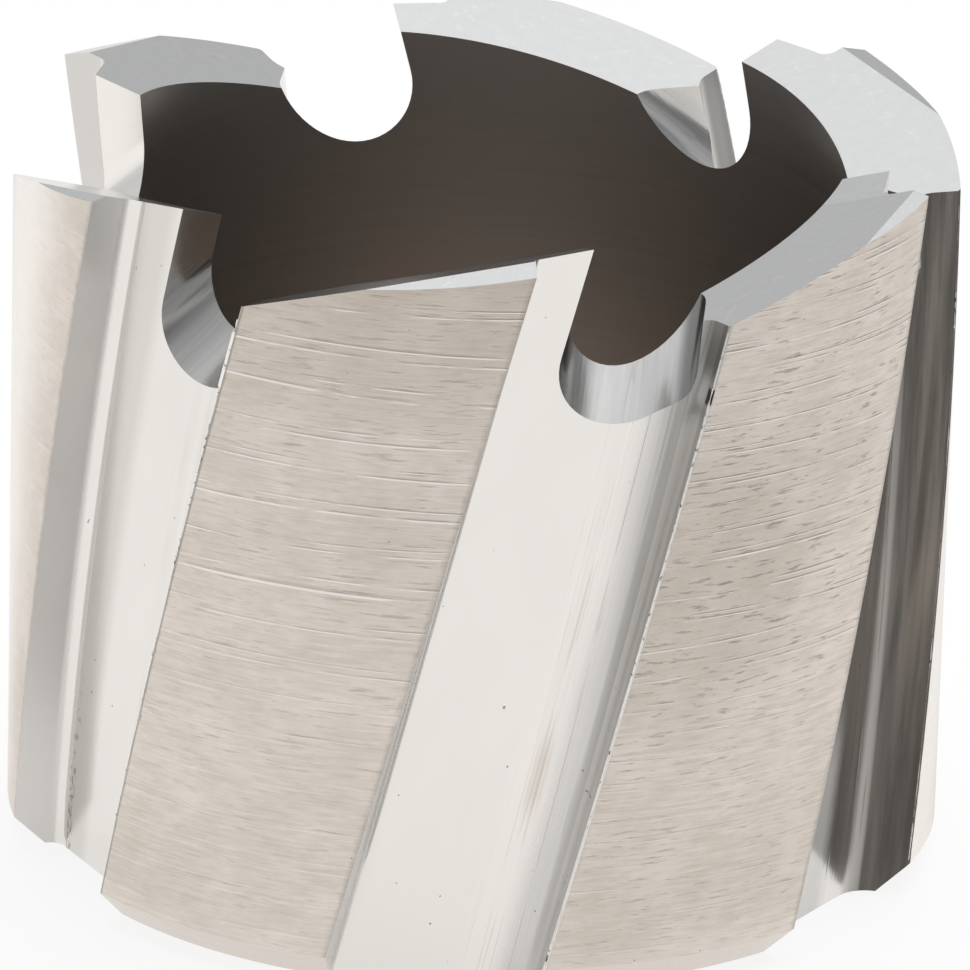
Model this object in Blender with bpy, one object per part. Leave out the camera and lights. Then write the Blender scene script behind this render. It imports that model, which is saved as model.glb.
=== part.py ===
"""Annular cutter: a one-piece hollow crown of tool steel with six helical cutting teeth.

It stands on its flat back with the teeth up. The origin is the centre of the back face,
+Z runs along the axis towards the teeth, and the first tooth's cutting edge lies on -Y.
Seen from the teeth, every tooth cuts anticlockwise. Lengths are in metres, angles in degrees.
"""

import math

import bmesh
import bpy
from mathutils import Vector

# Body
OUTER_DIAMETER = 0.03175
BODY_HEIGHT = 0.0251
WALL_THICKNESS = 0.003675
WEB_THICKNESS = 0.006
WEB_CORNER_RADIUS = 0.0015
ARBOR_HOLE_DIAMETER = 0.0127
ARBOR_HOLE_CHAMFER = 0.0004
BACK_CHAMFER = 0.0011

# Teeth and the flutes between them
TOOTH_COUNT = 6
HELIX_ANGLE = 14.9
LAND_SHARE = 0.565
FACE_DEPTH = 0.00175
FACE_FILLET = 0.00055
HEEL_DEPTH = 0.00183
HEEL_LEAN = 0.8
HEEL_FILLET = 0.0011
FLOOR_HOLLOW = 0.00006

# Gullets, the slots that part the teeth at the top and give each one its inner cutting edge
LEDGE_WIDTH = 0.00202
GULLET_RADIUS = 0.00225
GULLET_DEPTH = 0.00655
GULLET_SLOPE = 41.0
HEEL_WALL_FLARE = 4.3

# Top facets: each tooth has an inner and an outer one, which meet at its crest
CREST_INSET = (0.00095, 0.00052)
OUTER_BEVEL = 13.1
INNER_BEVEL = 16.7
RELIEF_ANGLE = 9.45

# Fineness of the faceted solid
LAYERS = 14
LAND_STEPS = 8
FLOOR_STEPS = 6
FILLET_STEPS = 4
GULLET_STEPS = 14
TURNED_STEPS = 90
SHARP_ANGLE = 20
# How far a cutting tool's solid reaches past what it cuts
CUT_MARGIN = 0.001

OUTER_RADIUS = OUTER_DIAMETER / 2
BORE_RADIUS = OUTER_RADIUS - WALL_THICKNESS
PITCH = math.tau / TOOTH_COUNT
LAND = PITCH * LAND_SHARE
FLUTE = PITCH - LAND
TWIST_PER_METRE = math.tan(math.radians(HELIX_ANGLE)) / OUTER_RADIUS


def clear_scene():
    for obj in list(bpy.data.objects):
        bpy.data.objects.remove(obj, do_unlink=True)


def steel():
    material = bpy.data.materials.new("ground_steel")
    material.use_nodes = True
    shader = material.node_tree.nodes["Principled BSDF"]
    shader.inputs["Base Color"].default_value = (0.60, 0.57, 0.54, 1)
    shader.inputs["Metallic"].default_value = 1.0
    shader.inputs["Roughness"].default_value = 0.32
    return material


def mesh_object(name, points, faces):
    """An object of these points and faces, with every face turned outwards."""
    mesh = bpy.data.meshes.new(name)
    mesh.from_pydata([tuple(p) for p in points], [], faces)
    shape = bmesh.new()
    shape.from_mesh(mesh)
    bmesh.ops.recalc_face_normals(shape, faces=shape.faces)
    shape.to_mesh(mesh)
    shape.free()
    obj = bpy.data.objects.new(name, mesh)
    bpy.context.scene.collection.objects.link(obj)
    return obj


def arc(centre, radius, start, end, steps):
    """Points on a circle from one angle to another, both ends included."""
    turns = [start + (end - start) * i / steps for i in range(steps + 1)]
    return [centre + radius * Vector((math.cos(t), math.sin(t))) for t in turns]


def heading(vector):
    return math.atan2(vector.y, vector.x)


def hollow_circle(start, end, hollow):
    """Centre and radius of the circle that joins two points and sinks by hollow between them."""
    chord = end - start
    radius = (chord.length / 2) ** 2 / (2 * hollow) + hollow / 2
    outward = Vector((-chord.y, chord.x)).normalized()
    return (start + end) / 2 + outward * (radius - hollow), radius


def flute_outline():
    """One flute in the section, from a tooth's cutting edge forward to the next tooth's heel.

    x runs forward from the tooth's face and y runs outwards, so the face lies on x = 0.
    """
    root = OUTER_RADIUS - FACE_DEPTH
    edge = Vector((0, OUTER_RADIUS))
    face_fillet = arc(
        Vector((FACE_FILLET, root + FACE_FILLET)), FACE_FILLET, math.pi, 1.5 * math.pi, FILLET_STEPS
    )
    heel = OUTER_RADIUS * Vector((math.sin(FLUTE), math.cos(FLUTE)))
    foot_turn = FLUTE + math.radians(HEEL_LEAN)
    foot = (OUTER_RADIUS - HEEL_DEPTH) * Vector((math.sin(foot_turn), math.cos(foot_turn)))
    floor_start = face_fillet[-1]
    hollow_centre, hollow_radius = hollow_circle(floor_start, foot, FLOOR_HOLLOW)

    # The heel fillet touches the hollow floor from inside its circle, and the heel wall.
    along_wall = (heel - foot).normalized()
    into_flute = Vector((-along_wall.y, along_wall.x))
    base = foot + into_flute * HEEL_FILLET
    reach = hollow_radius - HEEL_FILLET
    back = base - hollow_centre
    half = back.dot(along_wall)
    run = -half - math.sqrt(half * half - back.length_squared + reach * reach)
    fillet_centre = base + along_wall * run
    meets_floor = (fillet_centre - hollow_centre).normalized()

    floor = arc(
        hollow_centre, hollow_radius, heading(floor_start - hollow_centre), heading(meets_floor), FLOOR_STEPS
    )
    heel_fillet = arc(
        fillet_centre, HEEL_FILLET, heading(meets_floor), heading(-into_flute), FILLET_STEPS
    )
    return [edge] + face_fillet[:-1] + floor + heel_fillet[1:] + [heel]


def land_outline():
    """The round land of the next tooth, from its heel to its cutting edge, ends left out."""
    turns = [FLUTE + LAND * i / LAND_STEPS for i in range(1, LAND_STEPS)]
    return [OUTER_RADIUS * Vector((math.sin(t), math.cos(t))) for t in turns]


def place(forward, outward, height, turn):
    """World point of a section point, with the section turned about the axis."""
    reach = math.hypot(forward, outward)
    angle = math.atan2(forward, outward) + turn
    return Vector((reach * math.sin(angle), -reach * math.cos(angle), height))


def fluted_bar():
    """The twisted bar with the flutes in its side, a little longer than the body."""
    outline = flute_outline() + land_outline()
    bottom, top = -CUT_MARGIN, BODY_HEIGHT + CUT_MARGIN
    points = []
    for layer in range(LAYERS + 1):
        height = bottom + (top - bottom) * layer / LAYERS
        twist = (height - BODY_HEIGHT) * TWIST_PER_METRE
        for tooth in range(TOOTH_COUNT):
            turn = tooth * PITCH + twist
            points += [place(p.x, p.y, height, turn) for p in outline]
    ring = TOOTH_COUNT * len(outline)
    faces = [list(range(ring)), list(range(LAYERS * ring, (LAYERS + 1) * ring))]
    for layer in range(LAYERS):
        for i in range(ring):
            j = (i + 1) % ring
            low, high = layer * ring, (layer + 1) * ring
            faces.append([low + i, low + j, high + j, high + i])
    return mesh_object("cutter_body", points, faces)


def turned_blank():
    """What the lathe leaves: bore, web with its arbor hole, and the chamfered back."""
    hole, wide = ARBOR_HOLE_DIAMETER / 2, OUTER_RADIUS + CUT_MARGIN
    top = BODY_HEIGHT + 2 * CUT_MARGIN
    corner = arc(
        Vector((BORE_RADIUS - WEB_CORNER_RADIUS, WEB_THICKNESS + WEB_CORNER_RADIUS)),
        WEB_CORNER_RADIUS, 0, -math.pi / 2, FILLET_STEPS,
    )
    profile = [
        Vector((hole + ARBOR_HOLE_CHAMFER, 0)),
        Vector((OUTER_RADIUS - BACK_CHAMFER, 0)),
        Vector((wide, BACK_CHAMFER + CUT_MARGIN)),
        Vector((wide, top)),
        Vector((BORE_RADIUS, top)),
        *corner,
        Vector((hole, WEB_THICKNESS)),
        Vector((hole, ARBOR_HOLE_CHAMFER)),
    ]
    points, faces = [], []
    for step in range(TURNED_STEPS):
        turn = math.tau * step / TURNED_STEPS
        points += [(p.x * math.sin(turn), -p.x * math.cos(turn), p.y) for p in profile]
    count = len(profile)
    for step in range(TURNED_STEPS):
        this, after = step * count, (step + 1) % TURNED_STEPS * count
        for i in range(count):
            j = (i + 1) % count
            faces.append([this + i, this + j, after + j, after + i])
    return mesh_object("turned_blank", points, faces)


def gullet_mouth():
    """Width of a gullet at the level of the tips, between its leaning sides."""
    lean, flare = math.radians(HELIX_ANGLE), math.radians(HEEL_WALL_FLARE)
    floor_width = GULLET_RADIUS / math.cos(lean) + GULLET_RADIUS / math.cos(flare)
    return floor_width + (GULLET_DEPTH - GULLET_RADIUS) * (math.tan(flare) - math.tan(lean))


def gullet_outline():
    """The U of a gullet, seen along the slot: x forward from the tooth's face, y up."""
    lean = math.radians(HELIX_ANGLE)
    flare = math.radians(HEEL_WALL_FLARE)
    floor = arc(Vector((0, 0)), GULLET_RADIUS, math.pi - lean, math.tau - flare, GULLET_STEPS)
    rise = GULLET_DEPTH + 2 * CUT_MARGIN
    left = floor[0] + Vector((math.tan(lean), 1)) * rise
    right = floor[-1] + Vector((math.tan(flare), 1)) * rise
    return [left] + floor + [right]


def gullet_cutters():
    """Six slot cutters that run outwards and down through the wall, joined in one object."""
    lean, slope = math.radians(HELIX_ANGLE), math.radians(GULLET_SLOPE)
    root = OUTER_RADIUS - FACE_DEPTH
    # The slot's face side passes through the outer end of the inner cutting edge.
    centre_height = BODY_HEIGHT - GULLET_DEPTH + GULLET_RADIUS
    face_at_centre = LEDGE_WIDTH - (BODY_HEIGHT - centre_height) * math.tan(lean)
    centre_forward = face_at_centre + GULLET_RADIUS / math.cos(lean)
    outline = gullet_outline()
    points, faces = [], []
    for tooth in range(TOOTH_COUNT):
        first = len(points)
        for outward in (BORE_RADIUS / 2, OUTER_RADIUS + 2 * CUT_MARGIN):
            drop = (outward - root) * math.tan(slope)
            for p in outline:
                forward = centre_forward - drop * math.tan(lean) + p.x
                points.append(place(forward, outward, centre_height - drop + p.y, tooth * PITCH))
        count = len(outline)
        faces.append([first + i for i in range(count)])
        faces.append([first + count + i for i in range(count)])
        for i in range(count):
            j = (i + 1) % count
            faces.append([first + i, first + j, first + count + j, first + count + i])
    return mesh_object("gullet_cutters", points, faces)


def facet_cutters():
    """Six blocks over the teeth, whose undersides are the inner and outer top facets."""
    middle = LEDGE_WIDTH + gullet_mouth() / 2
    # Neighbouring blocks stay this far apart, over the empty middle of the gullet.
    clearance = gullet_mouth() / 20
    wide = OUTER_RADIUS + 2 * CUT_MARGIN
    top = BODY_HEIGHT + 4 * CUT_MARGIN
    inner, outer = math.tan(math.radians(INNER_BEVEL)), math.tan(math.radians(OUTER_BEVEL))
    relief = math.tan(math.radians(RELIEF_ANGLE))
    front = middle - clearance
    # The rear side runs down the middle of the gullet behind the tooth, one pitch back.
    rear_direction = Vector((-math.sin(PITCH), math.cos(PITCH)))
    rear_start = (middle + clearance) * Vector((math.cos(PITCH), math.sin(PITCH)))
    points, faces = [], []
    for tooth in range(TOOTH_COUNT):
        crest = OUTER_RADIUS - CREST_INSET[tooth % len(CREST_INSET)]
        tip = BODY_HEIGHT + (OUTER_RADIUS - crest) * outer

        def rear_at(outward):
            along = (outward - rear_start.y) / rear_direction.y
            return rear_start.x + along * rear_direction.x

        def height(forward, outward):
            fall = (crest - outward) * inner if outward < crest else (outward - crest) * outer
            return tip + forward * relief - fall

        meeting = rear_start.y + (front - rear_start.x) / rear_direction.x * rear_direction.y
        plan = [
            (front, meeting), (front, crest), (front, wide),
            (rear_at(wide), wide), (rear_at(crest), crest),
        ]
        first = len(points)
        points += [place(f, o, height(f, o), tooth * PITCH) for f, o in plan]
        points += [place(f, o, top, tooth * PITCH) for f, o in plan]
        faces += [
            [first, first + 1, first + 4],
            [first + 1, first + 2, first + 3, first + 4],
            [first + 5 + i for i in range(5)],
        ]
        for i in range(5):
            j = (i + 1) % 5
            faces.append([first + i, first + j, first + 5 + j, first + 5 + i])
    return mesh_object("facet_cutters", points, faces)


def cut(target, tool, operation):
    """Adds a live Boolean and hides its tool."""
    boolean = target.modifiers.new(tool.name, "BOOLEAN")
    boolean.operation = operation
    boolean.solver = "EXACT"
    boolean.object = tool
    tool.hide_render = True
    tool.display_type = "WIRE"


def main():
    clear_scene()
    body = fluted_bar()
    body.data.materials.append(steel())
    cut(body, turned_blank(), "INTERSECT")
    cut(body, gullet_cutters(), "DIFFERENCE")
    cut(body, facet_cutters(), "DIFFERENCE")
    body.data.shade_smooth()
    body.data.set_sharp_from_angle(angle=math.radians(SHARP_ANGLE))


main()
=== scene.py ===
# %% [markdown]
# # Annular cutter
# A short hollow cutter that stands on its back with its six teeth up. The real one is turned
# from tool steel, fluted and slotted on a mill, hardened, and then ground on its lands and
# top facets. This notebook loads the CAD model as a fixed frame, builds a finer body with
# Geometry Nodes, gives each worked surface its own finish and lights it in a plain studio.

# %% Load the CAD frame
import math

import bmesh
import bpy
import numpy as np
from mathutils import Matrix, Vector


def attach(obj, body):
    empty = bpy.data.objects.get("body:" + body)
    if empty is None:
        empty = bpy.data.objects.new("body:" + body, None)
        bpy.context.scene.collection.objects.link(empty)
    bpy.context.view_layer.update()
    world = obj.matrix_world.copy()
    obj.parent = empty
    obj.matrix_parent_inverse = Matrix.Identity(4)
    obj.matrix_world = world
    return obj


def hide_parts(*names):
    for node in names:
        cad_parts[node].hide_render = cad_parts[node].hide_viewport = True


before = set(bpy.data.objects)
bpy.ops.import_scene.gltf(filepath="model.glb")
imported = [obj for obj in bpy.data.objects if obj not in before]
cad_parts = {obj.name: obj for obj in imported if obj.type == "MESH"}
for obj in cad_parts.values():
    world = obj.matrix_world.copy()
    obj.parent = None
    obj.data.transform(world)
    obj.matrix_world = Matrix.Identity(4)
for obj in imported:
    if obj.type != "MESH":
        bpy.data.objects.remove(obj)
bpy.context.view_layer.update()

# %% [markdown]
# The sizes are those of the CAD source, in metres and degrees. A tooth's face is the zero of
# all angles: x runs forward from it, round the body, and y runs outwards. Seen from the
# teeth, forward is anticlockwise.

# %% Sizes of the cutter
MM = 0.001
OUTER_RADIUS = 15.875 * MM
BORE_RADIUS = OUTER_RADIUS - 3.675 * MM
BODY_HEIGHT = 25.1 * MM
WEB_THICKNESS, WEB_CORNER = 6.0 * MM, 1.5 * MM
HOLE_RADIUS, HOLE_CHAMFER, BACK_CHAMFER = 6.35 * MM, 0.4 * MM, 1.1 * MM
TEETH = 6
PITCH = math.tau / TEETH
LAND = PITCH * 0.565
FLUTE = PITCH - LAND
TWIST = math.tan(math.radians(14.9)) / OUTER_RADIUS
FACE_DEPTH, FACE_FILLET = 1.75 * MM, 0.55 * MM
HEEL_DEPTH, HEEL_LEAN, HEEL_FILLET = 1.83 * MM, math.radians(0.8), 1.1 * MM
EDGE_BREAK = 0.09 * MM
FLOOR_HOLLOW = 0.06 * MM
LEDGE, GULLET_RADIUS, GULLET_DEPTH = 2.02 * MM, 2.25 * MM, 6.55 * MM
LEAN, SLOPE, FLARE = math.radians(14.9), math.radians(41.0), math.radians(4.3)
CREST_INSETS = (0.95 * MM, 0.52 * MM)
OUTER_FALL, INNER_FALL = math.tan(math.radians(13.1)), math.tan(math.radians(16.7))
RELIEF = math.tan(math.radians(9.45))
MARGIN = 1.0 * MM
ROOT = OUTER_RADIUS - FACE_DEPTH

# %% [markdown]
# One pitch of the section holds a flute and a land. Each stretch of it is a straight line or
# an arc, and keeps the rule for its own surface normal, which is used after the cuts. A
# small class is enough: it gives the points of the stretch, the distance of any point from
# it and the normal there.

# %% Stretches of a section
def unit(turn):
    return np.array((math.cos(turn), math.sin(turn)))


class Stretch:
    """A line, or an arc when centre is given, of a section drawn in a plane."""

    def __init__(self, start, end, centre=None, hollow=True):
        self.start, self.end = np.array(start, float), np.array(end, float)
        self.centre = None if centre is None else np.array(centre, float)
        self.side = -1.0 if hollow else 1.0
        if self.centre is not None:
            spokes = [point - self.centre for point in (self.start, self.end)]
            self.radius = np.linalg.norm(spokes[0])
            self.first, self.last = (math.atan2(y, x) for x, y in spokes)
            turn = (self.last - self.first + math.pi) % math.tau - math.pi
            self.last = self.first + turn

    def points(self, steps):
        """Its points in this many steps, with the start and without the end."""
        shares = np.arange(steps) / steps
        if self.centre is None:
            return [tuple(self.start + (self.end - self.start) * t) for t in shares]
        turns = self.first + (self.last - self.first) * shares
        return [tuple(self.centre + self.radius * unit(t)) for t in turns]

    def distance(self, places):
        """How far each place is from the stretch."""
        along = self.end - self.start
        share = np.clip((places - self.start) @ along / (along @ along), 0, 1)
        if self.centre is None:
            return np.linalg.norm(places - self.start - share[:, None] * along, axis=1)
        off = places - self.centre
        middle = (self.first + self.last) / 2
        turn = (np.arctan2(off[:, 1], off[:, 0]) - middle + math.pi) % math.tau - math.pi
        past = np.maximum(np.abs(turn) - abs(self.last - self.first) / 2, 0) * self.radius
        return np.hypot(np.linalg.norm(off, axis=1) - self.radius, past)

    def normals(self, places):
        """The outward normal of the cutter beside each place."""
        if self.centre is not None:
            off = places - self.centre
            return self.side * off / np.linalg.norm(off, axis=1)[:, None]
        along = (self.end - self.start) / np.linalg.norm(self.end - self.start)
        return np.tile((-along[1], along[0]), (len(places), 1))


# %% Points of a section
def drawn(stretches, steps):
    """The points along several stretches, with its own number of steps on each."""
    return [point for stretch, count in zip(stretches, steps) for point in stretch.points(count)]


def on_circle(radius, angle):
    """Section point at this angle forward of the tooth's face."""
    return np.array((radius * math.sin(angle), radius * math.cos(angle)))


# %% [markdown]
# A form mill leaves the flute of the real cutter. Going forward, its six stretches are the
# tooth's face, a fillet, a slightly hollow floor, the heel fillet, the heel wall and the broken
# edge; the round land of the next tooth closes the pitch. Each stretch starts where the last
# one ends, and the centre of the heel fillet is worked out so that it touches both neighbours.

# %% Draw one pitch of the section
FLUTE_STEPS, LAND_STEPS = (5, 9, 20, 11, 4, 1), 26

floor_start = np.array((FACE_FILLET, ROOT))
heel = on_circle(OUTER_RADIUS, FLUTE)
foot = on_circle(OUTER_RADIUS - HEEL_DEPTH, FLUTE + HEEL_LEAN)

chord = foot - floor_start
chord_length = np.linalg.norm(chord)
floor_radius = (chord_length / 2) ** 2 / (2 * FLOOR_HOLLOW) + FLOOR_HOLLOW / 2
across_chord = np.array((-chord[1], chord[0])) / chord_length
floor_centre = (floor_start + foot) / 2 + across_chord * (floor_radius - FLOOR_HOLLOW)

# The heel fillet touches the hollow floor from inside, and the heel wall. Its centre runs up
# beside the wall from base until it is the floor's radius less its own from the floor's centre.
up_wall = (heel - foot) / np.linalg.norm(heel - foot)
off_wall = np.array((-up_wall[1], up_wall[0]))
base = foot + off_wall * HEEL_FILLET
back = base - floor_centre
half = back @ up_wall
run = -half - math.sqrt(half**2 - back @ back + (floor_radius - HEEL_FILLET) ** 2)
fillet_centre = base + up_wall * run
to_floor = (fillet_centre - floor_centre) / np.linalg.norm(fillet_centre - floor_centre)
floor_end = fillet_centre + to_floor * HEEL_FILLET
wall_start = fillet_centre - off_wall * HEEL_FILLET

edge_start = heel - up_wall * EDGE_BREAK
edge_end = on_circle(OUTER_RADIUS, FLUTE + EDGE_BREAK / OUTER_RADIUS)

flute = [
    Stretch((0, OUTER_RADIUS), (0, ROOT + FACE_FILLET)),
    Stretch((0, ROOT + FACE_FILLET), floor_start, (FACE_FILLET, ROOT + FACE_FILLET)),
    Stretch(floor_start, floor_end, floor_centre),
    Stretch(floor_end, wall_start, fillet_centre),
    Stretch(wall_start, edge_start),
    Stretch(edge_start, edge_end),
]
land = Stretch(edge_end, on_circle(OUTER_RADIUS, PITCH), (0, 0), hollow=False)
section = [*drawn(flute, FLUTE_STEPS), *land.points(LAND_STEPS), tuple(land.end)]
print("Points in one pitch of the section:", len(section))

# %% [markdown]
# The tools that cut the body are plain closed meshes: the turned blank, one gullet slot and
# the two kinds of block whose undersides are the top facets. They are drawn for the first
# tooth only, and Geometry Nodes repeats them.

# %% Meshes of the cutting tools
def mesh_object(name, points, faces=(), edges=()):
    mesh = bpy.data.meshes.new(name)
    mesh.from_pydata([tuple(p) for p in points], edges, faces)
    obj = bpy.data.objects.new(name, mesh)
    bpy.context.scene.collection.objects.link(obj)
    return obj


def at(forward, outward, height):
    """World point of the first tooth's section point at this height."""
    return (forward, -outward, height)


def closed_sides(count, low, high):
    """Faces between two closed loops of points, whose first points have these indices."""
    edges = [(i, (i + 1) % count) for i in range(count)]
    return [(low + i, low + after, high + after, high + i) for i, after in edges]


def outward_faces(obj):
    """Turns every face of a closed mesh outwards."""
    shape = bmesh.new()
    shape.from_mesh(obj.data)
    bmesh.ops.recalc_face_normals(shape, faces=shape.faces)
    shape.to_mesh(obj.data)
    shape.free()
    return obj


# %% [markdown]
# On the lathe the real cutter gets its bore, its web, the arbor hole and the back. Here their
# profile is spun round the axis. The blank stands a margin proud at the side and the top, where
# other shapes decide the surface, because a cut between two nearly equal faces goes wrong.

# %% The turned blank
TURNED_STEPS, PROFILE_STEPS, WEB_ARC = 240, (1, 1, 1, 1, 8, 8, 2, 2, 1), 5
blank_top, blank_side = BODY_HEIGHT + 2 * MARGIN, OUTER_RADIUS + MARGIN
corner_centre = np.array((BORE_RADIUS - WEB_CORNER, WEB_THICKNESS + WEB_CORNER))
corner_top, corner_foot = corner_centre + (WEB_CORNER, 0), corner_centre - (0, WEB_CORNER)
outline = [
    (HOLE_RADIUS + HOLE_CHAMFER, 0), (OUTER_RADIUS - BACK_CHAMFER, 0),
    (blank_side, BACK_CHAMFER + MARGIN), (blank_side, blank_top), (BORE_RADIUS, blank_top),
    corner_top, corner_foot, (HOLE_RADIUS, WEB_THICKNESS), (HOLE_RADIUS, HOLE_CHAMFER),
]
turned = [Stretch(*ends) for ends in zip(outline, outline[1:] + outline[:1])]
turned[WEB_ARC] = Stretch(corner_top, corner_foot, corner_centre, hollow=False)
profile = drawn(turned, PROFILE_STEPS)
print("Points of the turned profile:", len(profile))

rings, faces = [], []
for step in range(TURNED_STEPS):
    turn = math.tau * step / TURNED_STEPS
    rings += [(r * math.sin(turn), -r * math.cos(turn), z) for r, z in profile]
    this, after = step * len(profile), (step + 1) % TURNED_STEPS * len(profile)
    faces += closed_sides(len(profile), this, after)
blank = outward_faces(mesh_object("blank", rings, faces))

# %% [markdown]
# A gullet gives the chips room between two teeth. It is the path of a round-nosed mill that
# leans with the helix and runs outwards and down, so one outline is pushed along a sloping
# line. The side at the back of the next tooth flares a little.

# %% One gullet slot
GULLET_STEPS = 28
centre_height = BODY_HEIGHT - GULLET_DEPTH + GULLET_RADIUS
centre_forward = (
    LEDGE - (BODY_HEIGHT - centre_height) * math.tan(LEAN) + GULLET_RADIUS / math.cos(LEAN)
)
turns = np.linspace(math.pi - LEAN, math.tau - FLARE, GULLET_STEPS + 1)
bowl = [GULLET_RADIUS * unit(t) for t in turns]


def side_top(corner, lean):
    """Upper end of the slot's side that leaves the bowl at this corner."""
    return corner + np.array((math.tan(lean), 1)) * (GULLET_DEPTH + 2 * MARGIN)


slot = [side_top(bowl[0], LEAN), *bowl, side_top(bowl[-1], FLARE)]
points = []
for outward in (BORE_RADIUS / 2, OUTER_RADIUS + 2 * MARGIN):
    drop = (outward - ROOT) * math.tan(SLOPE)
    shift = centre_forward - drop * math.tan(LEAN)
    points += [at(shift + x, outward, centre_height - drop + y) for x, y in slot]
count = len(slot)
faces = [list(range(count)), list(range(count, 2 * count)), *closed_sides(count, 0, count)]
gullet = outward_faces(mesh_object("gullet", points, faces))

# %% [markdown]
# The top of a tooth is ground as two planes, which fall inwards and outwards from a crest and
# away behind the cutting edge. Every second crest lies nearer the outside, so that the teeth
# share the width of the cut. A block over the tooth has both planes as its underside, and its
# ends stand in the air of the gullets, clear of the next block.

# %% The two facet blocks
mouth = GULLET_RADIUS / math.cos(LEAN) + GULLET_RADIUS / math.cos(FLARE)
mouth += (GULLET_DEPTH - GULLET_RADIUS) * (math.tan(FLARE) - math.tan(LEAN))
middle, clearance = LEDGE + mouth / 2, mouth / 20
front, wide = middle - clearance, OUTER_RADIUS + 2 * MARGIN
rear_start = (middle + clearance) * unit(PITCH)
rear_slope = -math.tan(PITCH)


def facet_block(name, inset):
    """A block over one tooth, whose underside falls to both sides of the crest."""
    crest = OUTER_RADIUS - inset
    tip = BODY_HEIGHT + inset * OUTER_FALL

    def rear(outward):
        return rear_start[0] + (outward - rear_start[1]) * rear_slope

    def height(forward, outward):
        fall = (crest - outward) * INNER_FALL if outward < crest else (outward - crest) * OUTER_FALL
        return tip + forward * RELIEF - fall

    meeting = rear_start[1] + (front - rear_start[0]) / rear_slope
    plan = [(front, meeting), (front, crest), (front, wide), (rear(wide), wide), (rear(crest), crest)]
    points = [at(f, o, height(f, o)) for f, o in plan]
    points += [at(f, o, BODY_HEIGHT + 4 * MARGIN) for f, o in plan]
    faces = [(0, 1, 4), (1, 2, 3, 4), (5, 6, 7, 8, 9), *closed_sides(5, 0, 5)]
    return outward_faces(mesh_object(name, points, faces))


facets = [facet_block(f"facet_{i}", inset) for i, inset in enumerate(CREST_INSETS)]
links = [(i, i + 1) for i in range(len(section) - 1)]
section_line = mesh_object("section", [at(x, y, 0) for x, y in section], edges=links)
print("Width of a gullet's mouth in mm:", round(mouth / MM, 2))

# %% [markdown]
# The body follows a rule: one pitch of the section, repeated round the axis and twisted as it
# rises, then cut by the blank, the gullets and the facet blocks. That is a short node tree,
# and its tooth count, height and helix stay open to change. Two small classes make the nodes
# of this tree and of every material: the operators of Value add Math nodes, and the add() of
# Tree takes any other type of node.

# %% Values that add Math nodes
class Value:
    """A socket whose sums, products and functions add Math nodes."""

    def __init__(self, tree, socket):
        self.tree, self.socket = tree, socket

    def maths(self, operation, *others):
        values = dict(enumerate((self, *others)))
        return self.tree.add("ShaderNodeMath", {"operation": operation}, values)

    def reflected(self, operation, other):
        return self.tree.add("ShaderNodeMath", {"operation": operation}, {0: other, 1: self})

    def __add__(self, other):
        return self.maths("ADD", other)

    def __sub__(self, other):
        return self.maths("SUBTRACT", other)

    def __mul__(self, other):
        return self.maths("MULTIPLY", other)

    def __truediv__(self, other):
        return self.maths("DIVIDE", other)

    def __mod__(self, other):
        return self.maths("FLOORED_MODULO", other)

    def __rsub__(self, other):
        return self.reflected("SUBTRACT", other)

    def __rtruediv__(self, other):
        return self.reflected("DIVIDE", other)

    def __abs__(self):
        return self.maths("ABSOLUTE")

    __radd__, __rmul__ = __add__, __mul__

    def most(self, other):
        return self.maths("MAXIMUM", other)

    def step(self, low, high):
        """0 below low, 1 above high and a smooth ramp between; low may be the greater."""
        smooth, limits = {"interpolation_type": "SMOOTHSTEP"}, {"From Min": low, "From Max": high}
        return self.tree.add("ShaderNodeMapRange", smooth, {"Value": self, **limits}, "Result")


# %% Trees that add any node
class Tree:
    """A node tree in the making."""

    def __init__(self, tree):
        self.nodes, self.links = tree.nodes, tree.links

    def add(self, kind, settings=None, inputs=None, output=0):
        """Adds a node, sets it and then feeds its inputs, where a list feeds one socket several
        values. Returns the named output, or several."""
        node = self.nodes.new(kind)
        for name, value in (settings or {}).items():
            setattr(node, name, value)
        for name, value in (inputs or {}).items():
            for each in value if isinstance(value, list) else [value]:
                if isinstance(each, Value):
                    self.links.new(each.socket, node.inputs[name])
                else:
                    node.inputs[name].default_value = each
        if isinstance(output, tuple):
            return [Value(self, node.outputs[name]) for name in output]
        return Value(self, node.outputs[output])


# %% [markdown]
# The tree copies the pitch to a closed ring and sweeps it up a line with Curve to Mesh, and
# the line's tilt twists it to the helix. Each tool is repeated on the teeth and carries the
# number of its zone through the cut. At the end that number picks the material of a face, so
# the finishes stay on their surfaces when a size changes.

# %% Inputs of the cutter's tree
ZONES = ("land", "flute", "gullet", "facet", "turned")
SOLVER, SAME_POINT, LAND_SKIN = "MANIFOLD", 0.001 * MM, 0.01 * MM
SETTINGS = {
    "Section": ("Object", section_line), "Blank": ("Object", blank), "Gullet": ("Object", gullet),
    "Even facets": ("Object", facets[0]), "Odd facets": ("Object", facets[1]),
    "Teeth": ("Int", TEETH), "Layers": ("Int", 64), "Bottom": ("Float", -MARGIN),
    "Top": ("Float", BODY_HEIGHT + MARGIN), "Tip height": ("Float", BODY_HEIGHT),
    "Twist per metre": ("Float", TWIST), "Outer radius": ("Float", OUTER_RADIUS),
}


def fresh_tree(name, settings):
    """A new tree with these named inputs: the group, its Tree, its output node, the inputs."""
    group = bpy.data.node_groups.new(name, "GeometryNodeTree")
    for label, (kind, _) in settings.items():
        group.interface.new_socket(label, in_out="INPUT", socket_type=f"NodeSocket{kind}")
    group.interface.new_socket("Geometry", in_out="OUTPUT", socket_type="NodeSocketGeometry")
    tree = Tree(group)
    entry, leave = tree.nodes.new("NodeGroupInput"), tree.nodes.new("NodeGroupOutput")
    return group, tree, leave, {label: Value(tree, entry.outputs[label]) for label in settings}


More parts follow.
